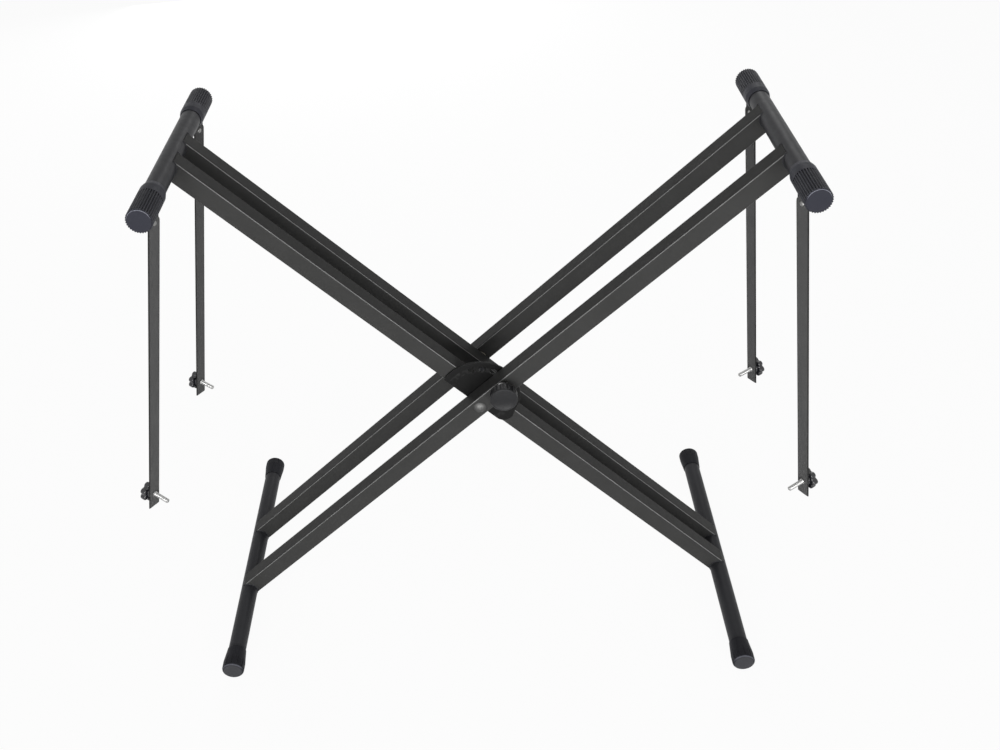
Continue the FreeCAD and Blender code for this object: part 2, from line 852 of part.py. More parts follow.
for item in doc.Objects:
    if {"Invalid", "Error"} & set(item.State):
        raise RuntimeError(f"{item.Label} did not compute: {item.State}")

os.makedirs("parts", exist_ok=True)
for piece in pieces:
    shape = piece.Shape
    if shape.isNull() or not shape.isValid() or len(shape.Solids) != 1:
        raise RuntimeError(f"{piece.Label} is not one valid solid")
for piece in pieces:
    piece.Shape.exportStep(f"parts/{piece.Label}.step")
print(len(pieces), "pieces written")
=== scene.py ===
import json
import math

import bmesh
import bpy
from mathutils import Matrix, Vector


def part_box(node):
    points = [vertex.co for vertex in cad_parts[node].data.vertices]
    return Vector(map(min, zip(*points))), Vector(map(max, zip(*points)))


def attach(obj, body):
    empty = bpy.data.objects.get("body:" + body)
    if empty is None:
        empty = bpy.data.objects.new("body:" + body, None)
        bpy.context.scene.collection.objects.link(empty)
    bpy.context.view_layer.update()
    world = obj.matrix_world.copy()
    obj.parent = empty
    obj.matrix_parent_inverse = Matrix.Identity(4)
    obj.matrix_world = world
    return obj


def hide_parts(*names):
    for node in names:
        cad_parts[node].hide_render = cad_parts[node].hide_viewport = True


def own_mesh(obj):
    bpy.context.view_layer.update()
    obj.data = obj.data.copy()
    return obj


# A folding keyboard stand on white paper, seen from above its front.
# Lengths are in metres.  Angles are in radians, apart from those that their
# comment gives in degrees.  Most of the frame's nodes keep their own meshes.
# The straps, their rivets, screws and star knobs, the quadrant plate, the pull
# knob and the lock's spring are built here again with more detail, and the
# weld beads are added.

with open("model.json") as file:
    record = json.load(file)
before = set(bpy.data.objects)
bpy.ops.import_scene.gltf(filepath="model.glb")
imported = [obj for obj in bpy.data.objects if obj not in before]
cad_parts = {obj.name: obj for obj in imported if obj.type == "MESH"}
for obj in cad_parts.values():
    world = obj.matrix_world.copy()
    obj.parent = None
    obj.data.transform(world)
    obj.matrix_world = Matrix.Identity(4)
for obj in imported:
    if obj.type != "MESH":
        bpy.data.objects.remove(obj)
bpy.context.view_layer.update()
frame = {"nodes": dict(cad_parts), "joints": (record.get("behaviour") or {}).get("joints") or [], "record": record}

MM = 0.001

# Sizes that the frame doesn't give.
TUBE_RADIUS = 12.5 * MM
RAIL_HALF = 12.5 * MM

STRAP_WIDTH = 18 * MM
STRAP_THICKNESS = 2 * MM
STRAP_END = 23 * MM               # screw to the cut end
STRAP_RIVET_HOLE = 2.6 * MM
STRAP_COLUMNS = 24                # faces across a strap
STRAP_ROWS = 300                  # faces along it
SELVEDGE_THINNING = 0.45          # share of the thickness lost at the very edge
SELVEDGE_POWER = 10
SEAL_LENGTH = 2.5 * MM            # the end that was melted shut
SEAL_THINNING = 0.15
SEAL_WAVE = 0.05 * MM
SEAL_WAVE_TURN = (2.1, 0.9)       # radians per millimetre, across and along
PUNCH_SIDES = 40
PUNCH_LENGTH = 10 * MM

SCREW_RADIUS = 3 * MM
SCREW_PITCH = 1 * MM
SCREW_HOLE = 3.15 * MM
SCREW_SIDES = 32
THREAD_DEPTH = 0.55 * MM
THREAD_STEPS = 8                  # rings in one turn of the thread
THREAD_POWER = 1.4                # over 1 for a rounded crest and a sharp root
SCREW_START = -26 * MM            # tip, from the strap's outer face
SCREW_POINT = 0.8 * MM
STOP_RADIUS = 3.8 * MM
STOP_NEAR = -3.3 * MM
STOP_FAR = -2.3 * MM
SCREW_FINISH = 6 * MM             # inside the knob
STEP_WIDTH = 0.01 * MM            # between the rings at a sharp step

STAR_LOBES = 7
STAR_SIDES = 24 * STAR_LOBES
STAR_CORE = 12 * MM
STAR_LOBE = 4.2 * MM
STAR_RADIUS = 15 * MM
STAR_BLEND = 3000                 # per metre, higher for sharper valleys
STAR_BACK = 3.3 * MM              # from the strap's outer face to the lobes
STAR_FACE = 11.3 * MM             # from the strap's outer face to the knob's
STAR_RIM = 2 * MM
STAR_NECK = 8 * MM

KNOB_RADIUS = 18 * MM
KNOB_FLUTES = 20
KNOB_SIDES = 10 * KNOB_FLUTES
KNOB_FLUTE_DEPTH = 1.1 * MM
KNOB_FLUTE_POWER = 1.5            # over 1 for flutes narrower than their crests
KNOB_LENGTH = 14 * MM
KNOB_RIM = 2 * MM
KNOB_DISH = 0.4 * MM

RIVET_HEAD = 3 * MM
RIVET_DOME = 1.3 * MM
RIVET_SHANK = 2.5 * MM
RIVET_SEAT = 4.6 * MM             # from the middle of the lug to the head
RIVET_SIDES = 48
RIVET_RINGS = 8                   # rings of the dome
RIVET_FIRST = 6                   # degrees from the dome's top to its first ring
RIVET_STEP = 12                   # degrees from one ring to the next
RIVET_TAIL = 0.4 * MM             # half the thickness of the rolled tail
RIVET_TAIL_ROUND = 0.6 * MM
LUG_HALF = 2 * MM                 # half the thickness of a cap's lug

PLATE_THICKNESS = 3 * MM
PLATE_RADIUS = 55 * MM
PLATE_START = 30                  # degrees, where the big arc begins
PLATE_STEPS = 60
PLATE_REACH = 58 * MM             # from the pivot to the rounded end's tip
PLATE_END = 13.5 * MM             # radius of the rounded end
PLATE_END_TURN = (-90, 40)        # degrees, its first and last angle
PLATE_END_STEPS = 20
PLATE_BEVEL = 0.4 * MM
HOLE_SIDES = 36
PIVOT_HOLE = 6.6 * MM
LOCK_HOLES = 4
LOCK_HOLE = 4.5 * MM
LOCK_CIRCLE = 43.5 * MM
LOCK_FIRST = 88                   # degrees from the inner rails
LOCK_PITCH = 20                   # degrees

SPRING_WIRE = 0.9 * MM
SPRING_TURNS = 5
SPRING_STEPS = 24                 # points in one turn

WELD_RADIUS = 1.1 * MM
WELD_SPREAD = 84                  # degrees to each side of the rail's axis
WELD_STEPS = 24
WELD_THICKNESS = 0.85             # share of its radius, before the ripples
WELD_RIPPLE = 0.2
WELD_RIPPLE_TURN = 2.6            # from one point of the bead to the next

ENDS = ("front", "rear")
SIDES = ("left", "right")
joints = {joint["name"]: joint for joint in frame["joints"]}


# ------------------------------------------------------------------- materials

class Look:
    """One procedural material, with short ways to add nodes to it."""

    def __init__(self, name, metallic=0.0):
        self.material = bpy.data.materials.new(name)
        self.material.use_nodes = True
        self.tree = self.material.node_tree
        self.shader = self.tree.nodes["Principled BSDF"]
        self.shader.inputs["Metallic"].default_value = metallic
        self.place = self.add("ShaderNodeTexCoord").outputs["Object"]

    def feed(self, socket, value):
        """Give a socket a plain value or another node's output."""
        if isinstance(value, bpy.types.NodeSocket):
            self.tree.links.new(value, socket)
        else:
            socket.default_value = value

    def add(self, kind, inputs=None, **settings):
        """A node with its settings and its inputs by name or number."""
        node = self.tree.nodes.new(kind)
        for setting, value in settings.items():
            setattr(node, setting, value)
        for key, value in (inputs or {}).items():
            self.feed(node.inputs[key], value)
        return node

    def noise(self, scale, detail=2.0, stretch=(1, 1, 1)):
        """Cloudy noise; stretch squeezes its cells along each axis."""
        mapping = self.add("ShaderNodeMapping", {"Vector": self.place, "Scale": stretch})
        inputs = {"Vector": mapping.outputs[0], "Scale": scale, "Detail": detail}
        return self.add("ShaderNodeTexNoise", inputs).outputs["Fac"]

    def math(self, operation, first, second=0.0):
        """One step of arithmetic on values or outputs."""
        return self.add("ShaderNodeMath", {0: first, 1: second}, operation=operation).outputs[0]

    def between(self, value, low, high, to_low=0.0, to_high=1.0):
        """Carry a range of values over to another one, and clamp it."""
        inputs = {0: value, 1: low, 2: high, 3: to_low, 4: to_high}
        return self.add("ShaderNodeMapRange", inputs).outputs[0]

    def mix(self, factor, first, second):
        """A colour between two colours."""
        inputs = {0: factor, 6: first, 7: second}
        return self.add("ShaderNodeMix", inputs, data_type="RGBA").outputs[2]

    def parts(self):
        """X, Y and Z of the place on the object."""
        return self.add("ShaderNodeSeparateXYZ", {0: self.place}).outputs

    def flat_normal(self):
        """The surface's own normal."""
        return self.add("ShaderNodeNewGeometry").outputs["Normal"]

    def soft_edges(self, radius):
        """A normal that rounds the sharp edges off."""
        return self.add("ShaderNodeBevel", {"Radius": radius}, samples=4).outputs[0]

    def edge_mask(self, radius):
        """1 along the sharp edges and 0 on the flat."""
        inputs = {0: self.soft_edges(radius), 1: self.flat_normal()}
        match = self.add("ShaderNodeVectorMath", inputs, operation="DOT_PRODUCT")
        return self.between(match.outputs["Value"], 0.995, 0.8)

    def leaning(self, normal):
        """How far a normal points along Y, from 0 to 1, and how far up."""
        _, y, z = self.add("ShaderNodeSeparateXYZ", {0: normal}).outputs[0:3]
        return self.math("ABSOLUTE", y), z

    def upper_corners(self, normal):
        """1 halfway round the upper corners beside the Y faces, 0 on the flat: the mask of the painted highlights.
        """
        along, up = self.leaning(normal)
        square = self.math("MULTIPLY", along, along)
        ridge = self.math("MULTIPLY", square, self.math("SUBTRACT", 1.0, square))
        return self.math("MULTIPLY", self.between(ridge, 0.15, 0.25), self.between(up, 0.1, 0.4))

    def openness(self, distance):
        """1 where the surface stands open, less in its grooves: ambient occlusion, used as painted shade."""
        occlusion = self.add("ShaderNodeAmbientOcclusion", {"Distance": distance}, samples=8)
        return occlusion.outputs["AO"]

    def bump(self, height, distance, normal=None):
        """A normal that follows a height, on top of another normal where one is given."""
        node = self.add("ShaderNodeBump", {"Height": height, "Distance": distance})
        if normal is not None:
            self.feed(node.inputs["Normal"], normal)
        return node.outputs[0]

    def finish(self, colour, roughness, normal=None, gloss=0.5):
        """Feed the shader and hand the material over."""
        self.shader.inputs["Specular IOR Level"].default_value = gloss
        self.feed(self.shader.inputs["Base Color"], colour)
        self.feed(self.shader.inputs["Roughness"], roughness)
        if normal is not None:
            self.feed(self.shader.inputs["Normal"], normal)
        return self.material


def grey(value, blue=1.0):
    """A linear grey, bluish where blue is over 1."""
    return (value, value * (0.9 + blue / 10), value * blue, 1)


def powder_coat(name, dark, pale, blue, corner_highlight, gloss):
    """Satin black powder coat: orange peel, faint clouds, and a patchy painted highlight along the upper corners.
    """
    look = Look(name)
    soft = look.soft_edges(0.8 * MM)
    # A painted highlight on the upper corners, made patchy by noise, lightens them towards pale grey.
    pale_share = look.between(look.noise(90, 4), 0.3, 0.7, 0.7 * corner_highlight, corner_highlight)
    wear_and_highlight = look.math("MULTIPLY", look.upper_corners(soft), pale_share)
    cloud = look.mix(look.noise(22, 3), grey(dark, blue), grey(pale, blue))
    colour = look.mix(wear_and_highlight, cloud, grey(0.28))
    roughness = look.between(look.noise(140, 3), 0.3, 0.7, 0.38, 0.48)
    peel = look.bump(look.noise(900, 1), 0.006 * MM, soft)
    return look.finish(colour, roughness, peel, gloss)


def plate_paint():
    """The quadrant plate's paint, scuffed a little where the pin slides round it, with a painted highlight along
    its edges.
    """
    look = Look("plate_paint")
    x, _, z = look.parts()[0:3]
    across = look.math("POWER", look.math("ABSOLUTE", x), 2)
    up = look.math("POWER", look.math("ABSOLUTE", z), 2)
    radius = look.math("SQRT", look.math("ADD", across, up))
    off_track = look.math("ABSOLUTE", look.math("SUBTRACT", radius, LOCK_CIRCLE))
    track = look.between(off_track, 3.8 * MM, 3.2 * MM)
    wear_and_highlight = look.math("MULTIPLY", track, look.between(look.noise(160, 4), 0.4, 0.7, 0.0, 0.10))
    # A painted highlight: all the plate's edges are lightened towards pale grey.
    edges = look.math("MULTIPLY", look.edge_mask(0.5 * MM), 0.45)
    pale_share = look.math("MAXIMUM", wear_and_highlight, edges)
    cloud = look.mix(look.noise(40), grey(0.004), grey(0.008))
    # Pale grey for the scuffed track and for the painted edge highlight.
    colour = look.mix(pale_share, cloud, grey(0.18))
    roughness = look.between(look.noise(200, 3), 0.3, 0.7, 0.42, 0.54)
    peel = look.bump(look.noise(1100, 1), 0.04 * MM, look.soft_edges(0.4 * MM))
    return look.finish(colour, roughness, peel, gloss=0.12)


def rubber(name, groove_shade, crest, face, rim_highlight, shine):
    """Moulded rubber: painted shade in its grooves and recesses, dusty crests, smooth paler ends, a painted
    highlight on the upper rim.
    """
    look = Look(name)
    soft = look.soft_edges(0.4 * MM)
    along, _ = look.leaning(look.flat_normal())
    # Ambient occlusion paints shade into the grooves, the recesses and the ring at the cap's mouth; dust varies
    # the crests.
    open_air = look.openness(2.5 * MM)
    dust = look.between(look.noise(60, 4), 0.4, 0.7, 0.75, 1.0)
    lit = look.math("MULTIPLY", look.between(open_air, 0.5, 0.9), dust)
    body = look.mix(lit, groove_shade, crest)
    end_on = look.between(along, 0.9, 0.97)
    # The smooth ends turn paler only where they stand open, so the painted shade stays in their recesses.
    smooth = look.math("MULTIPLY", end_on, look.between(open_air, 0.8, 0.95))
    colour = look.mix(look.math("MULTIPLY", smooth, dust), body, face)
    # A painted highlight: the upper rim is lightened towards a pale blue-grey where it stands open.
    clear = look.between(open_air, 0.7, 0.9, 0.0, 0.8)
    rim = look.math("MULTIPLY", look.upper_corners(soft), clear)
    colour = look.mix(rim, colour, grey(rim_highlight, 1.2))
    roughness = look.between(look.noise(300, 3), 0.3, 0.7, shine, shine + 0.14)
    skin = look.bump(look.noise(1600, 2), 0.04 * MM, soft)
    return look.finish(colour, roughness, skin, gloss=0.12)


def webbing():
    """Woven webbing: ribs along the strap, crossed by picks, dark selvedges."""
    look = Look("webbing")
    _, across, along = look.parts()[0:3]
    rib = look.math("SINE", look.math("MULTIPLY", across, math.tau / (1.5 * MM)))
    pick = look.math("SINE", look.math("MULTIPLY", along, math.tau / (2.2 * MM)))
    weave = look.math("MULTIPLY", rib, pick)
    thread = look.noise(1500, 2, (1, 4, 0.6))
    height = look.math("ADD", look.math("ABSOLUTE", weave), look.math("MULTIPLY", thread, 0.5))
    edge = look.between(look.math("ABSOLUTE", across), 7.2 * MM, 8.8 * MM)
    shade = look.between(weave, -1.0, 1.0, 0.25, 1.0)
    face = look.mix(shade, grey(0.036), grey(0.078))
    faded = look.mix(look.math("MULTIPLY", look.noise(30, 3), 0.35), face, grey(0.12))
    colour = look.mix(edge, faded, grey(0.006))
    normal = look.bump(height, 0.22 * MM)
    look.shader.inputs["Sheen Weight"].default_value = 0.1
    look.shader.inputs["Sheen Roughness"].default_value = 0.5
    return look.finish(colour, 0.85, normal, gloss=0.15)


def zinc(name, dark, pale, roughest):
    """Zinc plate with a slight haze and fine handling marks."""
    look = Look(name, metallic=1.0)
    haze = look.noise(120, 4)
    colour = look.mix(haze, grey(dark, 1.03), grey(pale, 0.96))
    roughness = look.between(haze, 0.3, 0.7, roughest - 0.16, roughest)
    marks = look.noise(1400, 2, (1, 1, 5))
    return look.finish(colour, roughness, look.bump(marks, 0.02 * MM, look.soft_edges(0.25 * MM)))


def turned_steel():
    """Plain steel with the fine rings that turning leaves, about Y."""
    look = Look("turned_steel", metallic=1.0)
    colour = look.mix(look.noise(80, 3), grey(0.42), grey(0.58))
    rings = look.noise(900, 2, (0.1, 6, 0.1))
    roughness = look.between(rings, 0.3, 0.7, 0.25, 0.4)
    return look.finish(colour, roughness, look.bump(rings, 0.03 * MM))


def nylon():
    """Grease-stained nylon, paler where it is clean."""
    look = Look("nylon")
    stain = look.between(look.noise(70, 4), 0.45, 0.7)
    colour = look.mix(stain, (0.30, 0.28, 0.23, 1), (0.16, 0.15, 0.12, 1))
    look.shader.inputs["Subsurface Weight"].default_value = 0.1
    look.shader.inputs["Subsurface Radius"].default_value = (MM, MM, MM)
    fine = look.noise(1200, 2)
    return look.finish(colour, 0.5, look.bump(fine, 0.03 * MM, look.soft_edges(0.3 * MM)))


def gloss_plastic():
    """Glossy black moulding with finger marks in its shine."""
    look = Look("gloss_plastic")
    marks = look.noise(160, 4)
    colour = look.mix(marks, grey(0.006, 1.3), grey(0.014, 1.3))
    roughness = look.between(marks, 0.35, 0.7, 0.10, 0.26)
    look.shader.inputs["Coat Weight"].default_value = 0.35
    look.shader.inputs["Coat Roughness"].default_value = 0.08
    flow = look.noise(260, 1)
    return look.finish(colour, roughness, look.bump(flow, 0.03 * MM))


def matte_plastic():
    """Spark-eroded blue-black plastic, with a painted highlight along its edges."""
    look = Look("matte_plastic")
    # A painted highlight: the edges are lightened towards pale grey.
    edges = look.edge_mask(0.6 * MM)
    cloud = look.noise(50, 3)
    body = look.mix(cloud, grey(0.010, 1.1), grey(0.016, 1.1))
    colour = look.mix(edges, body, grey(0.14, 1.1))
    grain = look.noise(2200, 2)
    roughness = look.between(grain, 0.3, 0.7, 0.38, 0.5)
    return look.finish(colour, roughness, look.bump(grain, 0.04 * MM), gloss=0.2)


looks = {
    # The frame's coat carries a painted highlight on its upper corners; the round coat has none.
    "frame_black": powder_coat("powder_coat", 0.034, 0.046, 0.98, 1.0, 0.04),
    "plate_black": plate_paint(),
    # Rubber: the first colour is painted shade in the grooves; the number after the three colours is the painted
    # rim highlight.
    "cap_rubber": rubber(
        "cap_rubber", grey(0.002, 1.3), grey(0.040, 1.3), grey(0.022, 1.45), 0.28, 0.42,
    ),
    "foot_rubber": rubber(
        "foot_rubber", grey(0.003, 1.2), grey(0.014, 1.3), grey(0.044, 1.1), 0.10, 0.46,
    ),
    "webbing": webbing(),
    "zinc_bright": zinc("zinc_plate", 0.34, 0.54, 0.36),
    "steel_plain": turned_steel(),
    "bush_nylon": nylon(),
    "knob_gloss": gloss_plastic(),
    "knob_matte": matte_plastic(),
}
dull_zinc = zinc("zinc_plate_dull", 0.07, 0.13, 0.55)
rivet_zinc = zinc("zinc_plate_rivet", 0.20, 0.34, 0.45)
round_coat = powder_coat("powder_coat_round", 0.028, 0.038, 1.12, 0.0, 0.12)


def dress_frame():
    """Give every node its slot's material; round parts shine more and the bolt less."""
    for row in frame["record"]["subparts"]:
        mesh = frame["nodes"][row["node"]].data
        mesh.materials.clear()
        look = looks[row["material_slot"]]
        if "_tube_" in row["node"] or row["node"] == "centre_spacer":
            look = round_coat
        if row["node"] in ("pivot_bolt", "pivot_nut", "pivot_washer"):
            look = dull_zinc
        mesh.materials.append(look)


# ------------------------------------------------------------- building pieces

def add_piece(name, mesh, slot, body, matrix=None, sharp_from=None):
    """An object of the stand in its place, riding on one body; sharp_from is in degrees."""
    piece = bpy.data.objects.new(name, mesh)
    bpy.context.scene.collection.objects.link(piece)
    if matrix is not None:
        piece.matrix_world = matrix
    mesh.materials.append(looks[slot])
    for face in mesh.polygons:
        face.use_smooth = True
    if sharp_from is not None:
        mesh.set_sharp_from_angle(angle=math.radians(sharp_from))
    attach(piece, body)
    return piece


def rings_mesh(name, rings):
    """A closed skin through rings of points, each with the same count."""
    mesh = bpy.data.meshes.new(name)
    count = len(rings[0])
    points = [point for ring in rings for point in ring]
    faces = []
    for row in range(len(rings) - 1):
        for i in range(count):
            a = row * count + i
            b = row * count + (i + 1) % count
            faces.append((a, b, b + count, a + count))
    faces.append(tuple(reversed(range(count))))
    faces.append(tuple(range(len(points) - count, len(points))))
    mesh.from_pydata(points, [], faces)
    mesh.update()
    work = bmesh.new()
    work.from_mesh(mesh)
    bmesh.ops.recalc_face_normals(work, faces=work.faces)
    work.to_mesh(mesh)
    work.free()
    return mesh


def ring_about_y(y, radius_at, count):
    """One ring of points about Y; radius_at gives the radius at an angle."""
    ring = []
    for i in range(count):
        angle = math.tau * i / count
        radius = radius_at(angle)
        ring.append((radius * math.cos(angle), y, radius * math.sin(angle)))
    return ring


def turned_rings(profile, count):
    """Round rings about Y, one for each (radius, y)."""
    return [ring_about_y(y, lambda _: radius, count) for radius, y in profile]


def bevel_steps(radius, high, steps=4):
    """(inset, y) pairs round a quarter circle from the side up to the face at high."""
    pairs = []
    for i in range(steps + 1):
        angle = math.pi / 2 * i / steps
        pairs.append((radius * (1 - math.cos(angle)), high - radius + radius * math.sin(angle)))
    return pairs


def place_along(origin, forward, up):
    """A matrix at origin with Y forward and Z as near up as it can be."""
    y = Vector(forward).normalized()
    x = y.cross(Vector(up)).normalized()
    z = x.cross(y)
    turn = Matrix((x, y, z)).transposed().to_4x4()
    return Matrix.Translation(origin) @ turn


def add_line(curve, points, closed=False):
    """A line of straight steps in a curve."""
    spline = curve.splines.new("POLY")
    spline.points.add(len(points) - 1)
    for point, place in zip(spline.points, points):
        point.co = (*place, 1)
    spline.use_cyclic_u = closed
    return spline


def wire_curve(name, radius):
    """An empty curve that is as thick as a wire all along."""
    curve = bpy.data.curves.new(name, "CURVE")
    curve.dimensions = "3D"
    curve.bevel_depth = radius
    curve.bevel_resolution = 3
    return curve


def curve_mesh(curve):
    """The mesh of a curve's surface, without materials."""
    shape = bpy.data.objects.new("shape", curve)
    bpy.context.scene.collection.objects.link(shape)
    bpy.context.view_layer.update()
    mesh = bpy.data.meshes.new_from_object(shape)
    bpy.data.objects.remove(shape)
    mesh.materials.clear()
    return mesh


def node_middle(node):
    """The middle of a node's box."""
    low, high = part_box(node)
    return (low + high) / 2


# ------------------------------------------------------------------ the straps

def strap_place(end, side):
    """Matrix of a strap on its rivet's axis: X out of the lug, Z up the strap."""
    rivet = Vector(joints[f"strap_swing_{end}_{side}"]["pos_m"])
    turn = joints[f"star_turn_{end}_{side}"]
    out = Vector(turn["axis"]).normalized()
    hang = rivet - Vector(turn["pos_m"])
    up = (hang - out * hang.dot(out)).normalized()
    drop = hang.dot(up)
    origin = Vector(turn["pos_m"]) - out * STRAP_THICKNESS / 2 + up * drop
    matrix = Matrix((out, up.cross(out), up)).transposed().to_4x4()
    return Matrix.Translation(origin) @ matrix, drop


def strap_height(face, across, along, bottom):
    """How far one face of a strap (-1 or 1) stands from its middle plane."""
    edge = abs(across) / (STRAP_WIDTH / 2)
    thick = STRAP_THICKNESS / 2 * (1 - SELVEDGE_THINNING * edge ** SELVEDGE_POWER)
    sealed = max(0.0, 1 - (along - bottom) / SEAL_LENGTH)
    turn_across, turn_along = SEAL_WAVE_TURN
    wave = SEAL_WAVE * math.sin(across / MM * turn_across + along / MM * turn_along) * sealed
    return face * thick * (1 - SEAL_THINNING * sealed ** 2) + wave


def strap_mesh(name, bottom):
    """A strap without its holes, from its rounded top down to the cut end at bottom."""
    half = STRAP_WIDTH / 2
    columns, rows = STRAP_COLUMNS, STRAP_ROWS
    work = bmesh.new()
    grid = {}
    for face in (-1, 1):
        for i in range(columns + 1):
            across = half * math.sin(math.pi / 2 * (2 * i / columns - 1))
            top = math.sqrt(max(half ** 2 - across ** 2, 0))
            for j in range(rows + 1):
                along = bottom + (top - bottom) * j / rows
                height = strap_height(face, across, along, bottom)
                grid[face, i, j] = work.verts.new((height, across, along))
    for i in range(columns):
        for j in range(rows):
            for face in (-1, 1):
                corners = [(i, j), (i + 1, j), (i + 1, j + 1), (i, j + 1)]
                work.faces.new([grid[face, a, b] for a, b in corners])
    border = [(i, 0) for i in range(columns)] + [(columns, j) for j in range(rows)]
    border += [(i, rows) for i in range(columns, 0, -1)] + [(0, j) for j in range(rows, 0, -1)]
    for k, (a, b) in enumerate(border):
        c, d = border[(k + 1) % len(border)]
        work.faces.new([grid[-1, a, b], grid[-1, c, d], grid[1, c, d], grid[1, a, b]])
    bmesh.ops.remove_doubles(work, verts=work.verts, dist=0.001 * MM)
    bmesh.ops.recalc_face_normals(work, faces=work.faces)
    mesh = bpy.data.meshes.new(name)
    work.to_mesh(mesh)
    work.free()
    return mesh


def punch(strap, along, radius):
    """A round hole through a strap at one place along it."""
    work = bmesh.new()
    turn = Matrix.Rotation(math.pi / 2, 4, "Y")
    bmesh.ops.create_cone(
        work, cap_ends=True, segments=PUNCH_SIDES, radius1=radius, radius2=radius,
        depth=PUNCH_LENGTH, matrix=Matrix.Translation((0, 0, along)) @ turn,
    )
    mesh = bpy.data.meshes.new("punch")
    work.to_mesh(mesh)
    work.free()
    tool = bpy.data.objects.new("punch", mesh)
    bpy.context.scene.collection.objects.link(tool)
    tool.matrix_world = strap.matrix_world.copy()
    cut = strap.modifiers.new("hole", "BOOLEAN")
    cut.object = tool
    cut.operation = "DIFFERENCE"
    bpy.context.view_layer.update()
    evaluated = strap.evaluated_get(bpy.context.evaluated_depsgraph_get())
    result = bpy.data.meshes.new_from_object(evaluated)
    strap.modifiers.clear()
    strap.data = result
    bpy.data.objects.remove(tool)


def build_strap(end, side):
    """A woven strap: rounded top, thin selvedges, a sealed cut end, two holes."""
    matrix, drop = strap_place(end, side)
    name = f"webbing_{end}_{side}"
    mesh = strap_mesh(name, -(drop + STRAP_END))
    strap = add_piece(name, mesh, "webbing", f"strap_{end}_{side}", matrix)
    punch(strap, 0, STRAP_RIVET_HOLE)
    punch(strap, -drop, SCREW_HOLE)
    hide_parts(f"strap_{end}_{side}")


# ------------------------------------- the screws, the star knobs and the rivets

def screw_place(end, side):
    """Matrix at the strap's outer face: Y out along the screw."""
    turn = joints[f"star_turn_{end}_{side}"]
    rivet = Vector(joints[f"strap_swing_{end}_{side}"]["pos_m"])
    return place_along(Vector(turn["pos_m"]), turn["axis"], rivet - Vector(turn["pos_m"]))


def thread_radius(y, angle):
    """Radius of the threaded screw at one place."""
    if STOP_NEAR <= y <= STOP_FAR:
        return STOP_RADIUS
    if y > STOP_FAR:
        return SCREW_RADIUS
    turn = (y / SCREW_PITCH - angle / math.tau) % 1
    flank = abs(turn * 2 - 1)
    point = min(SCREW_RADIUS, SCREW_RADIUS - SCREW_POINT + (y - SCREW_START))
    fade = min(1.0, (STOP_NEAR - y) / SCREW_PITCH)
    return point - THREAD_DEPTH * fade * flank ** THREAD_POWER


def build_screw(end, side):
    """The threaded screw, with the ring that keeps it in its strap."""
    step = SCREW_PITCH / THREAD_STEPS
    places = [SCREW_START + step * i for i in range(int((STOP_NEAR - SCREW_START) / step))]
    places += [STOP_NEAR - STEP_WIDTH, STOP_NEAR, STOP_FAR, STOP_FAR + STEP_WIDTH, SCREW_FINISH]
    rings = [ring_about_y(y, lambda angle: thread_radius(y, angle), SCREW_SIDES) for y in places]
    name = f"thread_{end}_{side}"
    body = f"star_{end}_{side}"
    mesh = rings_mesh(name, rings)
    piece = add_piece(name, mesh, "zinc_bright", body, screw_place(end, side), sharp_from=50)
    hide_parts(f"strap_screw_{end}_{side}")


def star_radius(angle):
    """Outline of the star knob: round lobes on a core, with soft valleys."""
    pitch = math.tau / STAR_LOBES
    off = (angle + pitch / 2) % pitch - pitch / 2
    reach = STAR_RADIUS - STAR_LOBE
    inside = STAR_LOBE ** 2 - (reach * math.sin(off)) ** 2
    lobe = reach * math.cos(off) + math.sqrt(inside) if inside > 0 else 0
    total = math.exp(STAR_BLEND * lobe) + math.exp(STAR_BLEND * STAR_CORE)
    excess = math.log(2) / STAR_BLEND * math.exp(-abs(lobe - STAR_CORE) * STAR_BLEND)
    return math.log(total) / STAR_BLEND - excess


def build_star_knob(end, side):
    """A glossy lobed knob: rounded rims, a dished face and a round neck."""
    # (radius, y) for the round parts, (inset, y) for the lobed back
    neck = [(STAR_NECK - 0.5 * MM, 0.3 * MM), (STAR_NECK, 0.8 * MM), (STAR_NECK, STAR_BACK)]
    back = [(1.4 * MM, STAR_BACK), (0.5 * MM, STAR_BACK + 0.3 * MM), (0, STAR_BACK + 1.2 * MM)]
    dish = [
        (STAR_CORE - 3.5 * MM, STAR_FACE),
        (7.2 * MM, STAR_FACE),
        (6.2 * MM, STAR_FACE - 0.8 * MM),
        (0.5 * MM, STAR_FACE - MM),
    ]
    rings = turned_rings(neck, STAR_SIDES)
    for inset, y in back + bevel_steps(STAR_RIM, STAR_FACE):
        rings.append(ring_about_y(y, lambda angle: star_radius(angle) - inset, STAR_SIDES))
    rings += turned_rings(dish, STAR_SIDES)
    name = f"star_{end}_{side}_knob"
    body = f"star_{end}_{side}"
    mesh = rings_mesh(name, rings)
    piece = add_piece(name, mesh, "knob_gloss", body, screw_place(end, side), sharp_from=55)
    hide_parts(f"star_knob_{end}_{side}")


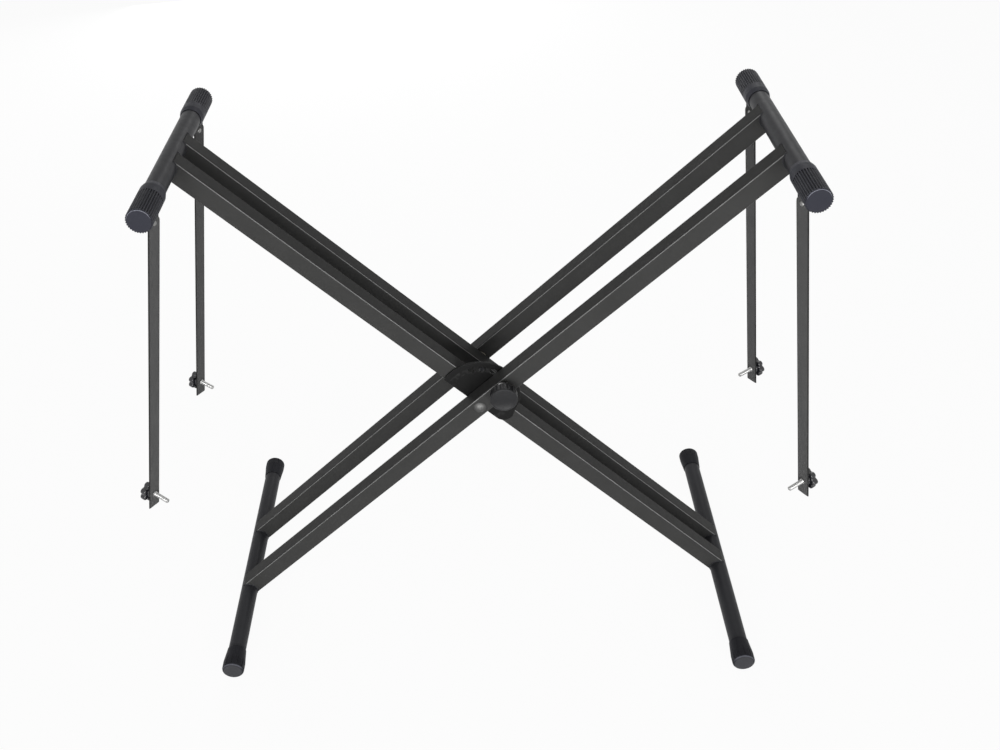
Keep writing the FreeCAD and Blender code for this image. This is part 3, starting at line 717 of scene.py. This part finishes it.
def build_rivet(end, side):
    """A small domed rivet with a rolled tail behind the lug."""
    swing = joints[f"strap_swing_{end}_{side}"]
    out = Vector(joints[f"star_turn_{end}_{side}"]["axis"])
    matrix = place_along(Vector(swing["pos_m"]), out, (0, 0, 1))
    profile = []
    for i in range(RIVET_RINGS):
        angle = math.radians(RIVET_FIRST + RIVET_STEP * i)
        profile.append((RIVET_HEAD * math.sin(angle), -RIVET_SEAT - RIVET_DOME * math.cos(angle)))
    profile += [(RIVET_SHANK, -RIVET_SEAT), (RIVET_SHANK, LUG_HALF)]
    profile += [(RIVET_HEAD, LUG_HALF), (RIVET_HEAD, LUG_HALF + RIVET_TAIL)]
    profile += [(RIVET_HEAD - RIVET_TAIL_ROUND, LUG_HALF + 2 * RIVET_TAIL)]
    name = f"rivet_{end}_{side}"
    body = "inner_frame" if side == "left" else "outer_frame"
    mesh = rings_mesh(name, turned_rings(profile, RIVET_SIDES))
    piece = add_piece(name, mesh, "zinc_bright", body, matrix, sharp_from=50)
    piece.data.materials[0] = rivet_zinc
    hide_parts(f"strap_rivet_{end}_{side}")


# ---------------------------------------------------------- the quadrant plate

def arc_points(x, y, radius, start, finish, steps):
    """Points on an arc in a plane; its angles are in degrees."""
    points = []
    for i in range(steps + 1):
        angle = math.radians(start + (finish - start) * i / steps)
        points.append((x + radius * math.cos(angle), y + radius * math.sin(angle), 0))
    return points


def hole_points(x, y, radius):
    """The outline of a round hole, whose last step closes it."""
    return arc_points(x, y, radius, 0, 360 - 360 / HOLE_SIDES, HOLE_SIDES - 1)


def plate_loops():
    """The plate's outline, its pivot hole and its lock holes."""
    low_angle = math.degrees(math.asin(RAIL_HALF / PLATE_RADIUS))
    outline = arc_points(0, 0, PLATE_RADIUS, PLATE_START, 180 + low_angle, PLATE_STEPS)
    corner = (PLATE_REACH - PLATE_END, PLATE_END - RAIL_HALF)
    outline += arc_points(*corner, PLATE_END, *PLATE_END_TURN, PLATE_END_STEPS)
    loops = [outline, hole_points(0, 0, PIVOT_HOLE)]
    for i in range(LOCK_HOLES):
        angle = math.radians(LOCK_FIRST + i * LOCK_PITCH)
        x, y = LOCK_CIRCLE * math.cos(angle), LOCK_CIRCLE * math.sin(angle)
        loops.append(hole_points(x, y, LOCK_HOLE))
    return loops


def build_plate():
    """The quadrant plate with soft edges, a rounded end and rimmed holes."""
    pivot = Vector(joints["fold"]["pos_m"])
    along = (node_middle("foot_tube_right") - node_middle("top_tube_left")).normalized()
    front = Vector((0, -1, 0))
    upward = front.cross(along)
    curve = bpy.data.curves.new("plate_outline", "CURVE")
    curve.dimensions = "2D"
    curve.fill_mode = "BOTH"
    curve.bevel_depth = PLATE_BEVEL
    curve.bevel_resolution = 2
    curve.offset = -PLATE_BEVEL
    curve.extrude = PLATE_THICKNESS / 2 - PLATE_BEVEL
    for loop in plate_loops():
        add_line(curve, loop, closed=True)
    mesh = curve_mesh(curve)
    mesh.transform(Matrix(((1, 0, 0, 0), (0, 0, -1, 0), (0, 1, 0, 0), (0, 0, 0, 1))))
    turn = Matrix((along, -front, upward)).transposed().to_4x4()
    origin = Vector((pivot.x, node_middle("quadrant_plate").y, pivot.z))
    matrix = Matrix.Translation(origin) @ turn
    piece = add_piece("height_plate", mesh, "plate_black", "inner_frame", matrix, sharp_from=40)
    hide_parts("quadrant_plate")


# -------------------------------------------------------------------- the lock

def flute_dip(angle):
    """0 on a crest between the pull knob's flutes and 1 in the middle of a flute."""
    return (0.5 + 0.5 * math.cos(angle * KNOB_FLUTES)) ** KNOB_FLUTE_POWER


def build_lock_knob():
    """The pull knob: soft flutes, a bevelled rim with a painted highlight and a flat dished face."""
    low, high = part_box("lock_knob")
    middle = (low + high) / 2
    back = Vector((middle.x, high.y, middle.z))
    matrix = place_along(back, (0, -1, 0), (0, 0, 1))
    rings = turned_rings([(5 * MM, 0)], KNOB_SIDES)
    grip = [
        # (inset, y, flute)
        (1.2 * MM, 0, KNOB_FLUTE_DEPTH),
        (0.3 * MM, 0.4 * MM, KNOB_FLUTE_DEPTH),
        (0, 1.2 * MM, KNOB_FLUTE_DEPTH),
        (0, KNOB_LENGTH - 3.4 * MM, KNOB_FLUTE_DEPTH),
        (0, KNOB_LENGTH - 2.6 * MM, 0.3 * KNOB_FLUTE_DEPTH),
        (0, KNOB_LENGTH - 2.2 * MM, 0),
    ]
    for inset, y, flute in grip:
        radius = KNOB_RADIUS - inset
        rings.append(ring_about_y(y, lambda angle: radius - flute * flute_dip(angle), KNOB_SIDES))
    rim = [(KNOB_RADIUS - inset, y) for inset, y in bevel_steps(KNOB_RIM, KNOB_LENGTH)]
    dish = [
        (KNOB_RADIUS - 2.6 * MM, KNOB_LENGTH),
        (KNOB_RADIUS - 3 * MM, KNOB_LENGTH - KNOB_DISH),
        (2 * MM, KNOB_LENGTH - KNOB_DISH),
    ]
    rings += turned_rings(rim + dish, KNOB_SIDES)
    mesh = rings_mesh("pull_knob", rings)
    piece = add_piece("pull_knob", mesh, "knob_matte", "lock_plunger", matrix, sharp_from=50)
    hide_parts("lock_knob")


def build_spring():
    """The lock's coil with closed ends."""
    low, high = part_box("lock_spring")
    middle = (low + high) / 2
    start = Vector((middle.x, low.y + SPRING_WIRE / 2, middle.z))
    coil_radius = (high.x - low.x - SPRING_WIRE) / 2
    travel = high.y - low.y - SPRING_WIRE
    steps = SPRING_STEPS * SPRING_TURNS
    points = []
    for i in range(steps + 1):
        share = i / steps
        angle = math.tau * SPRING_TURNS * share
        eased = share - math.sin(math.tau * share) / math.tau
        round_off = Vector((math.cos(angle), 0, math.sin(angle))) * coil_radius
        points.append(start + round_off + Vector((0, travel * eased, 0)))
    curve = wire_curve("coil", SPRING_WIRE / 2)
    add_line(curve, points)
    piece = add_piece("coil_spring", curve_mesh(curve), "steel_plain", "outer_frame")
    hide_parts("lock_spring")
    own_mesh(piece)


# ------------------------------------------------------------------- the welds

def build_weld(name, body, rail, tube):
    """Two beads that follow the tube's curve along a rail's front and rear sides."""
    rail_y = node_middle(rail).y
    tube_middle = node_middle(tube)
    centre = Vector((tube_middle.x, rail_y, tube_middle.z))
    pivot = Vector(joints["fold"]["pos_m"])
    inward = (Vector((pivot.x, rail_y, pivot.z)) - centre).normalized()
    upward = inward.cross(Vector((0, 1, 0))).normalized()
    curve = wire_curve(name, WELD_RADIUS)
    for face in (1, -1):
        side = Vector((0, face * RAIL_HALF, 0))
        points = []
        for i in range(WELD_STEPS + 1):
            angle = math.radians(WELD_SPREAD) * (2 * i / WELD_STEPS - 1) * face
            place = inward * math.cos(angle) + upward * math.sin(angle)
            points.append(centre + place * TUBE_RADIUS + side)
        bead = add_line(curve, points)
        for i, point in enumerate(bead.points):
            point.radius = WELD_THICKNESS + WELD_RIPPLE * math.sin(i * WELD_RIPPLE_TURN)
    piece = add_piece(name, curve_mesh(curve), "frame_black", body)
    piece.data.materials[0] = round_coat


def build_welds():
    """The beads at both ends of all four rails."""
    tubes = {
        "inner": ("inner_frame", "top_tube_left", "foot_tube_right"),
        "outer": ("outer_frame", "top_tube_right", "foot_tube_left"),
    }
    for kind, (body, top, foot) in tubes.items():
        for end in ENDS:
            for level, tube in (("top", top), ("foot", foot)):
                build_weld(f"weld_{kind}_{end}_{level}", body, f"{kind}_rail_{end}", tube)


# ------------------------------------------------------- camera, lights and floor

CAMERA_PLACE = Vector((-0.0036, -1.1561, 1.2386))
CAMERA_TURN = (-2.29, 35.94, -2.82)     # yaw, pitch downward and roll, in degrees
CAMERA_LENS = 37.74               # millimetres
CAMERA_SENSOR = 36                # millimetres wide
CAMERA_SHIFT = (0.0581, -0.0194)

FLOOR_HALF = 8                    # metres
FLOOR_WHITE = 0.95                # share of plain white that the eye sees on it
WORLD_LIGHT = 0.20                # strength that lights the stand
WORLD_SEEN = 1.0                  # strength that the eye sees

LIGHTS = {
    # name: (place, size, watts)
    "key": ((-0.7, -3.0, 0.6), 1.4, 66),
    "fill": ((1.2, -2.8, 0.5), 1.4, 46),
    "edge": ((0.2, -1.5, 2.6), 0.5, 5),
    "rim": ((0.6, 2.2, 1.9), 0.8, 6),
    "back": ((-0.6, 3.0, 0.6), 1.4, 50),
}


def build_camera():
    """The camera, from its heading, its pitch downward and its roll."""
    yaw, pitch, roll = (math.radians(angle) for angle in CAMERA_TURN)
    heading = Vector((math.sin(yaw), math.cos(yaw), 0))
    ahead = heading * math.cos(pitch) - Vector((0, 0, math.sin(pitch)))
    side = Vector((math.cos(yaw), -math.sin(yaw), 0))
    up = side.cross(ahead)
    right = math.cos(roll) * side + math.sin(roll) * up
    above = -math.sin(roll) * side + math.cos(roll) * up
    data = bpy.data.cameras.new("camera")
    data.lens = CAMERA_LENS
    data.sensor_width = CAMERA_SENSOR
    data.shift_x, data.shift_y = CAMERA_SHIFT
    camera = bpy.data.objects.new("camera", data)
    turn = Matrix((right, above, -ahead)).transposed()
    camera.matrix_world = Matrix.Translation(CAMERA_PLACE) @ turn.to_4x4()
    bpy.context.scene.collection.objects.link(camera)
    bpy.context.scene.camera = camera


def seen_directly(tree):
    """1 for the camera's rays and those that a surface mirrors or lets through, else 0."""
    rays = tree.nodes.new("ShaderNodeLightPath")
    total = rays.outputs["Is Camera Ray"]
    for name in ("Is Glossy Ray", "Is Transmission Ray"):
        add = tree.nodes.new("ShaderNodeMath")
        add.operation = "MAXIMUM"
        tree.links.new(total, add.inputs[0])
        tree.links.new(rays.outputs[name], add.inputs[1])
        total = add.outputs[0]
    return total


def build_floor():
    """White paper: pale to the lamps, nearly white to the eye, a faint shadow."""
    work = bmesh.new()
    bmesh.ops.create_grid(work, x_segments=1, y_segments=1, size=FLOOR_HALF)
    mesh = bpy.data.meshes.new("floor")
    work.to_mesh(mesh)
    work.free()
    floor = bpy.data.objects.new("floor", mesh)
    bpy.context.scene.collection.objects.link(floor)
    look = Look("floor_paper")
    look.finish((0.8, 0.8, 0.8, 1), 0.95)
    white = look.add("ShaderNodeEmission", {"Color": (1, 1, 1, 1), "Strength": 1.0})
    part = look.math("MULTIPLY", seen_directly(look.tree), FLOOR_WHITE)
    shader = look.shader.outputs[0]
    both = look.add("ShaderNodeMixShader", {0: part, 1: shader, 2: white.outputs[0]})
    output = look.tree.nodes["Material Output"]
    look.tree.links.new(both.outputs[0], output.inputs["Surface"])
    mesh.materials.append(look.material)


def build_world():
    """White all round to the eye, and a dimmer even light on the stand."""
    world = bpy.data.worlds.new("world")
    bpy.context.scene.world = world
    world.use_nodes = True
    tree = world.node_tree
    background = tree.nodes["Background"]
    background.inputs["Color"].default_value = (1, 1, 1, 1)
    strength = tree.nodes.new("ShaderNodeMapRange")
    strength.inputs["To Min"].default_value = WORLD_LIGHT
    strength.inputs["To Max"].default_value = WORLD_SEEN
    tree.links.new(seen_directly(tree), strength.inputs["Value"])
    tree.links.new(strength.outputs[0], background.inputs["Strength"])


def build_lights():
    """Soft square lamps that face the stand's middle; the back one adds no shine."""
    middle = Vector(joints["fold"]["pos_m"])
    for name, (place, size, power) in LIGHTS.items():
        light = bpy.data.lights.new(name, "AREA")
        light.size = size
        light.energy = power
        lamp = bpy.data.objects.new(name, light)
        lamp.location = place
        lamp.rotation_euler = (middle - Vector(place)).to_track_quat("-Z", "Y").to_euler()
        lamp.visible_glossy = name != "back"
        bpy.context.scene.collection.objects.link(lamp)


# ------------------------------------------------------------------- the scene

dress_frame()
for end_name in ENDS:
    for side_name in SIDES:
        build_strap(end_name, side_name)
        build_screw(end_name, side_name)
        build_star_knob(end_name, side_name)
        build_rivet(end_name, side_name)
build_plate()
build_lock_knob()
build_spring()
build_welds()
build_camera()
build_floor()
build_world()
build_lights()
bpy.context.scene.view_settings.view_transform = "Standard"
